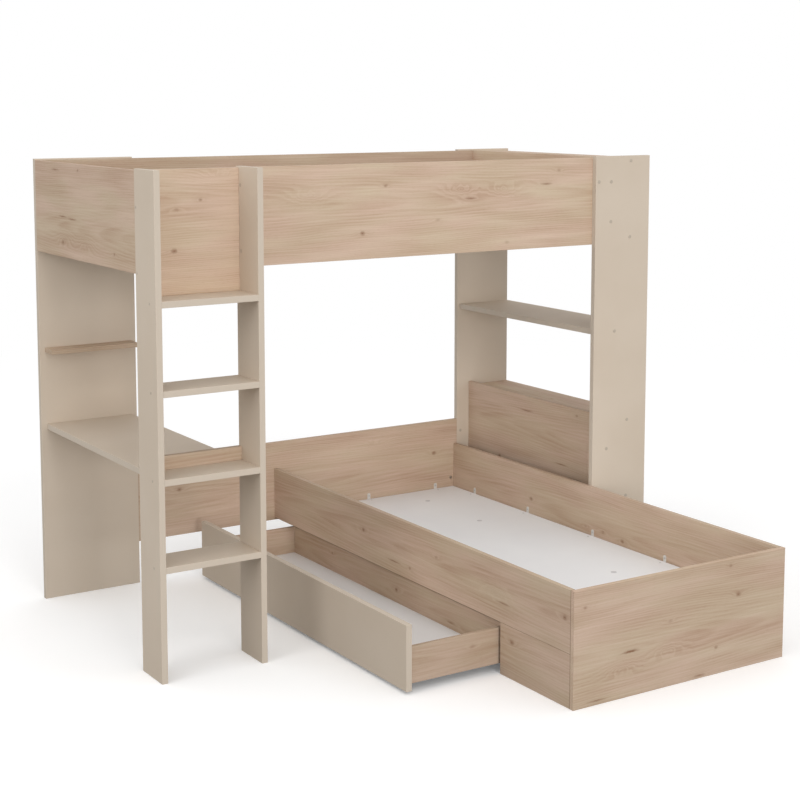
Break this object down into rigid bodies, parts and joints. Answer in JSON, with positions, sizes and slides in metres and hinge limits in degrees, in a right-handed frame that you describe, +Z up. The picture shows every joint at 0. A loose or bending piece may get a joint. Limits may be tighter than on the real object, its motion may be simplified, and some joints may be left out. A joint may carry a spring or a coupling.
{
  "type": "bunk bed",
  "caption": "Corner bunk bed of furniture boards: guarded upper bunk, lower bed at right angles, ladder, narrow desk, open bookcase and a castored drawer.",
  "frame": {"origin": "middle of the footprint's bounding box, on the floor", "axes": "+X along the upper bunk to the bookcase end, +Y back to the wall, +Z up"},
  "size_m": [2.236, 2.05, 1.727],
  "materials": {
    "wood_decor": "light natural wood decor, satin",
    "painted_panel": "warm beige board, satin",
    "white_board": "white board, satin",
    "clip_plastic": "white moulded",
    "castor_plastic": "dark moulded",
    "wheel_plastic": "grey moulded"
  },
  "bodies": {
    "carcass": {"rear_left_panel": "painted_panel", "rear_right_panel": "painted_panel", "front_right_panel": "painted_panel", "ladder_left_stile": "painted_panel", "ladder_right_stile": "painted_panel", "ladder_rung_low": "painted_panel", "ladder_rung_high": "painted_panel", "ladder_rung_top": "painted_panel", "ladder_back_board": "wood_decor", "desk_top": "painted_panel", "desk_upstand": "wood_decor", "wall_shelf": "wood_decor", "upper_left_end": "wood_decor", "upper_right_end": "wood_decor", "upper_front_rail": "wood_decor", "upper_rear_rail": "wood_decor", "upper_front_ledge": "wood_decor", "upper_rear_ledge": "wood_decor", "upper_base": "white_board", "cross_board": "wood_decor", "bookcase_top_shelf": "wood_decor", "bookcase_upper_shelf": "wood_decor", "bookcase_middle_shelf": "painted_panel", "cabinet_top": "wood_decor", "cabinet_shelf": "wood_decor", "cabinet_bottom": "wood_decor", "cabinet_side": "wood_decor", "footboard": "wood_decor", "lower_near_side": "wood_decor", "lower_near_plinth": "wood_decor", "lower_far_side": "wood_decor", "lower_far_plinth": "wood_decor", "lower_centre_beam": "wood_decor", "lower_base": "white_board", "near_clip_1": "clip_plastic", "far_clip_1": "clip_plastic", "near_clip_2": "clip_plastic", "far_clip_2": "clip_plastic", "near_clip_3": "clip_plastic", "far_clip_3": "clip_plastic", "near_clip_4": "clip_plastic", "far_clip_4": "clip_plastic", "near_clip_5": "clip_plastic", "far_clip_5": "clip_plastic", "cross_clip_1": "clip_plastic", "cross_clip_2": "clip_plastic", "cross_clip_3": "clip_plastic"},
    "drawer": {"drawer_front": "painted_panel", "drawer_near_side": "wood_decor", "drawer_far_side": "wood_decor", "drawer_back": "wood_decor", "drawer_bottom": "white_board", "castor_housing_front_near": "castor_plastic", "castor_housing_front_far": "castor_plastic", "castor_housing_back_near": "castor_plastic", "castor_housing_back_far": "castor_plastic"},
    "wheel_front_near": {"castor_wheel_front_near": "wheel_plastic"},
    "wheel_front_far": {"castor_wheel_front_far": "wheel_plastic"},
    "wheel_back_near": {"castor_wheel_back_near": "wheel_plastic"},
    "wheel_back_far": {"castor_wheel_back_far": "wheel_plastic"}
  },
  "joints": [
    {"name": "drawer_slide", "type": "slide", "parent": "carcass", "child": "drawer", "axis": [1, 0, 0], "range_m": [-0.238, 0.356]},
    {"name": "wheel_front_near_spin", "type": "hinge", "parent": "drawer", "child": "wheel_front_near", "pos_m": [-0.399, -0.493, 0.014], "axis": [0, 1, 0], "continuous": true},
    {"name": "wheel_front_far_spin", "type": "hinge", "parent": "drawer", "child": "wheel_front_far", "pos_m": [-0.399, 0.795, 0.014], "axis": [0, 1, 0], "continuous": true},
    {"name": "wheel_back_near_spin", "type": "hinge", "parent": "drawer", "child": "wheel_back_near", "pos_m": [-0.103, -0.493, 0.014], "axis": [0, 1, 0], "continuous": true},
    {"name": "wheel_back_far_spin", "type": "hinge", "parent": "drawer", "child": "wheel_back_far", "pos_m": [-0.103, 0.795, 0.014], "axis": [0, 1, 0], "continuous": true}
  ],
  "couplings": [
    {"joint": "wheel_front_near_spin", "follows": "drawer_slide", "rad_per_m": 71.429},
    {"joint": "wheel_front_far_spin", "follows": "drawer_slide", "rad_per_m": 71.429},
    {"joint": "wheel_back_near_spin", "follows": "drawer_slide", "rad_per_m": 71.429},
    {"joint": "wheel_back_far_spin", "follows": "drawer_slide", "rad_per_m": 71.429}
  ]
}
